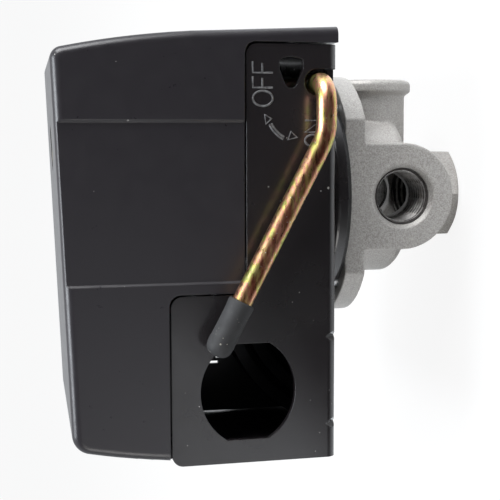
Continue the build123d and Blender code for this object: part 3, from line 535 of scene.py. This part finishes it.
def close_ends(mesh):
    """Fill the open ends of a tube and turn its faces outwards."""
    bm = bmesh.new()
    bm.from_mesh(mesh)
    bmesh.ops.holes_fill(bm, edges=[e for e in bm.edges if e.is_boundary], sides=0)
    bmesh.ops.recalc_face_normals(bm, faces=bm.faces)
    bm.to_mesh(mesh)
    bm.free()


def axis_of(node):
    """Middle point, long axis, half length and radius of a slender CAD node."""
    points = np.array([v.co for v in frame["nodes"][node].data.vertices], float)
    centre = points.mean(0)
    spread = points - centre
    axis = np.linalg.svd(spread, full_matrices=False)[2][0]
    along = (points - centre) @ axis
    middle = centre + axis * (along.max() + along.min()) / 2
    across = points - centre - np.outer(along, axis)
    radius = np.linalg.norm(across, axis=1).max()
    return Vector(middle), Vector(axis), (along.max() - along.min()) / 2, radius


# ------------------------------------------------------------------ pieces
# Quarter-inch pipe thread: 18 turns to the inch, with a taper of 1 in 16 on the diameter.
THREAD_PITCH = 25.4 / 18 * MM
THREAD_TURNS = 8
THREAD_ROOT = 6.66 * MM
THREAD_CREST = 6.08 * MM
THREAD_SLEEVE = 6.79 * MM
THREAD_TAPER = 1 / 32
THREAD_START = 1.0 * MM
THREAD_COLUMNS = 96
THREAD_STEPS = 10           # rings for each turn
CROSS_SETBACK = 6.6 * MM    # from each cross port's mount point out to its mouth


def pipe_thread(name, mouth, outward, paint, root_paint):
    """Helical pipe thread on the wall of one port, from just inside its mouth, with painted shade in its
    valleys.
    """
    outward = Vector(outward)
    side = outward.orthogonal().normalized()
    other = outward.cross(side)
    length = THREAD_PITCH * THREAD_TURNS
    rows = []

    def ring(depth, radius_at):
        row = []
        for j in range(THREAD_COLUMNS):
            turn = j / THREAD_COLUMNS
            radius = radius_at(turn)
            angle = 2 * math.pi * turn
            reach = side * math.cos(angle) + other * math.sin(angle)
            row.append(Vector(mouth) - outward * depth + reach * radius)
        return row

    for i in range(THREAD_TURNS * THREAD_STEPS + 1):
        depth = length * i / (THREAD_TURNS * THREAD_STEPS)
        ends = min(1.0, depth / (0.8 * THREAD_PITCH), (length - depth) / (0.5 * THREAD_PITCH) + 0.15)
        shrink = THREAD_TAPER * depth

        def radius_at(turn, depth=depth, ends=ends, shrink=shrink):
            phase = (depth / THREAD_PITCH - turn) % 1.0
            crest = 1 - abs(2 * phase - 1)
            crest = min(1.0, max(0.0, 1.25 * crest - 0.12))
            return THREAD_ROOT - shrink - (THREAD_ROOT - THREAD_CREST) * crest * max(0.0, ends)

        rows.append(ring(THREAD_START + depth, radius_at))
    rows.append(ring(THREAD_START + length, lambda turn: THREAD_SLEEVE))
    rows.append(ring(THREAD_START, lambda turn: THREAD_SLEEVE))
    mesh = grid_mesh(name, rows, close_rows=True)
    piece = add_piece(name, mesh, "housing", paint)
    # The second material gives the valleys their painted shade.
    mesh.materials.append(root_paint)
    halfway = (THREAD_ROOT + THREAD_CREST) / 2
    for face in mesh.polygons:
        offset = Vector(face.center) - Vector(mouth)
        depth = -offset.dot(outward)
        across = (offset + outward * depth).length + THREAD_TAPER * (depth - THREAD_START)
        face.material_index = 1 if across > halfway else 0
    return piece


CAST_VOXEL = 0.28 * MM
CAST_RIPPLE = 0.03 * MM


def cast_body(paint):
    """The manifold with the soft corners of a casting, from the CAD solid."""
    mesh = frame["nodes"]["manifold"].data.copy()
    piece = bpy.data.objects.new("manifold_casting", mesh)
    bpy.context.scene.collection.objects.link(piece)
    remesh = piece.modifiers.new("remesh", "REMESH")
    remesh.mode = "VOXEL"
    remesh.voxel_size = CAST_VOXEL
    soften = piece.modifiers.new("soften", "SMOOTH")
    soften.factor = 0.5
    soften.iterations = 6
    graph = bpy.context.evaluated_depsgraph_get()
    made = bpy.data.meshes.new_from_object(piece.evaluated_get(graph))
    bpy.data.objects.remove(piece)
    made.name = "manifold_casting"
    normals = [v.normal.copy() for v in made.vertices]
    for vertex, normal in zip(made.vertices, normals):
        ripple = noise.noise(vertex.co / (2.4 * MM)) + 0.5 * noise.noise(vertex.co / (1.1 * MM))
        vertex.co -= normal * CAST_RIPPLE * (ripple + 1.0)
    piece = add_piece("manifold_casting", made, "housing", paint)
    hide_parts("manifold")


CAP_COLUMNS = 72


def rubber_cap(paint):
    """Rubber cap on the lever: a rolled lip, a slight waist and a rounded end."""
    middle, axis, half, radius = axis_of("lever_cap")
    if axis.x > 0:
        axis = -axis
    start = middle - axis * half
    length = 2 * half
    # Distance from the lip in millimetres and share of the full radius.
    profile = [(0.10, 0.76), (0.0, 0.80), (0.02, 0.89), (0.25, 0.965), (0.8, 0.985), (1.5, 0.97)]
    profile += [(2.2, 0.945), (4.5, 0.935), (7.0, 0.94), (9.3, 0.96), (10.2, 0.985), (10.8, 0.965)]
    outline = [(a * MM, share * radius) for a, share in profile]
    knee = 10.9 * MM
    for i in range(1, 13):
        angle = math.radians(90 * i / 12)
        across = 0.955 * radius * math.cos(angle) ** 0.75
        outline.append((knee + (length - knee) * math.sin(angle), max(across, 0.02 * MM)))
    side = axis.orthogonal().normalized()
    other = axis.cross(side)
    rows = []
    for along, across in outline:
        row = []
        for j in range(CAP_COLUMNS):
            angle = 2 * math.pi * j / CAP_COLUMNS
            lumps = noise.noise(Vector((math.cos(angle), math.sin(angle), along / MM * 0.35)) * 1.6)
            bulge = 1 + 0.012 * lumps * min(1.0, across / radius)
            reach = side * math.cos(angle) + other * math.sin(angle)
            row.append(start + axis * along + reach * across * bulge)
        rows.append(row)
    mesh = grid_mesh("rubber_cap", rows)
    close_ends(mesh)
    piece = add_piece("rubber_cap", mesh, "lever", paint)
    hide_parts("lever_cap")


COIL_STEPS = 40             # rings for each turn
COIL_COLUMNS = 14


def coil_spring(name, node, turns, wire, paint, squeeze=None):
    """Coil spring with closed, ground ends, in the space of its CAD node."""
    low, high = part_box(node)
    middle = (low + high) / 2
    radius = (high.x - low.x) / 2 - wire
    bottom, top = low.z + wire, high.z - wire
    dead = 1.0
    steps = int((turns + 2 * dead) * COIL_STEPS)
    closed = 1.9 * wire
    rows = []
    for i in range(steps + 1):
        turn = (turns + 2 * dead) * i / steps
        if turn < dead:
            height = bottom + closed * turn
        elif turn > turns + dead:
            height = top - closed * (turns + 2 * dead - turn)
        else:
            share = (turn - dead) / turns
            height = bottom + closed * dead + (top - bottom - 2 * closed * dead) * share
        angle = 2 * math.pi * turn
        out = Vector((math.cos(angle), math.sin(angle), 0))
        centre = Vector((middle.x, middle.y, height)) + out * radius
        row = []
        for j in range(COIL_COLUMNS):
            around = 2 * math.pi * j / COIL_COLUMNS
            point = centre + out * wire * math.cos(around) + Vector((0, 0, wire * math.sin(around)))
            point.z = min(max(point.z, low.z), high.z)
            row.append(point)
        rows.append(row)
    mesh = grid_mesh(name, rows)
    close_ends(mesh)
    piece = add_piece(name, mesh, "housing", paint)
    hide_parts(node)
    if squeeze:
        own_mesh(piece)


STROKE = 0.24 * MM


def ridge(name, strokes, paint):
    """Fine raised lines on the front plate, each stroke a list of points in X and Z, in millimetres."""
    data = bpy.data.curves.new(name, "CURVE")
    data.dimensions = "3D"
    data.bevel_depth = STROKE
    data.bevel_resolution = 2
    data.use_fill_caps = True
    for points, closed in strokes:
        line = data.splines.new("POLY")
        line.points.add(len(points) - 1)
        for spot, (x, z) in zip(line.points, points):
            spot.co = (x * MM, 0, z * MM, 1)
        line.use_cyclic_u = closed
    curve = bpy.data.objects.new(name, data)
    bpy.context.scene.collection.objects.link(curve)
    graph = bpy.context.evaluated_depsgraph_get()
    mesh = bpy.data.meshes.new_from_object(curve.evaluated_get(graph))
    bpy.data.objects.remove(curve)
    for vertex in mesh.vertices:
        vertex.co.y = FRONT_Y + vertex.co.y * 0.5
    add_piece(name, mesh, "housing", paint)


def letter_o(left, foot, width, height):
    points = []
    for i in range(28):
        angle = 2 * math.pi * i / 28
        across = 0.5 + 0.5 * math.cos(angle)
        up = 0.5 + 0.5 * math.sin(angle)
        points.append((left + width * across, foot + height * up))
    return [(points, True)]


def letter_f(left, foot, width, height):
    return [
        ([(left, foot), (left, foot + height), (left + width, foot + height)], False),
        ([(left, foot + height * 0.52), (left + width * 0.85, foot + height * 0.52)], False),
    ]


def letter_n(left, foot, width, height):
    right, top = left + width, foot + height
    return [([(left, foot), (left, top), (right, foot), (right, top)], False)]


def lever_marks(paint):
    """Generic OFF and ON marks and a two-headed arrow that follows the lever's swing."""
    foot, height = 55.6, 4.6
    off = letter_o(21.4, foot, 3.4, height)
    off += letter_f(25.5, foot, 2.5, height)
    off += letter_f(28.8, foot, 2.5, height)
    ridge("mark_off", off, paint)
    on = letter_o(12.4, 44.3, 2.6, 3.8) + letter_n(15.6, 44.3, 2.6, 3.8)
    ridge("mark_on", on, paint)
    shaft = []
    for offset in (-0.28, 0.28):
        line = []
        for i in range(9):
            angle = math.radians(26 + 36 * i / 8)
            reach = 7.2 + offset
            line.append((20.6 - reach * math.sin(angle), 49.7 + reach * math.cos(angle)))
        shaft.append((line, False))
    heads = [
        ([(18.6, 55.9), (17.4, 57.2), (19.5, 57.5)], True),
        ([(13.9, 52.1), (15.7, 51.4), (14.4, 49.9)], True),
    ]
    ridge("mark_arrow", shaft + heads, paint)


paints = make_materials()
make_camera()
make_stage()
cast_body(paints["cast_metal"])
for port, mount in MOUNTS.items():
    if mount["kind"] == "threaded_hole":
        outward = Vector(mount["axis"])
        setback = 0.0 if port == "main_port" else CROSS_SETBACK
        mouth = Vector(mount["pos_m"]) + outward * setback
        pipe_thread(f"{port}_thread", mouth, outward, paints["machined_metal"], paints["thread_root"])
rubber_cap(paints["cap_rubber"])
coil_spring("range_coil", "range_spring", 5.0, 1.3 * MM, paints["spring_steel"], ("rocker_swing", 0.87))
coil_spring("differential_coil", "differential_spring", 5.0, 0.6 * MM, paints["spring_steel"])
# The raised marks get the paler grey of the painted highlight.
lever_marks(paints["mark_highlight_paint"])

bpy.context.scene.view_settings.view_transform = "Standard"
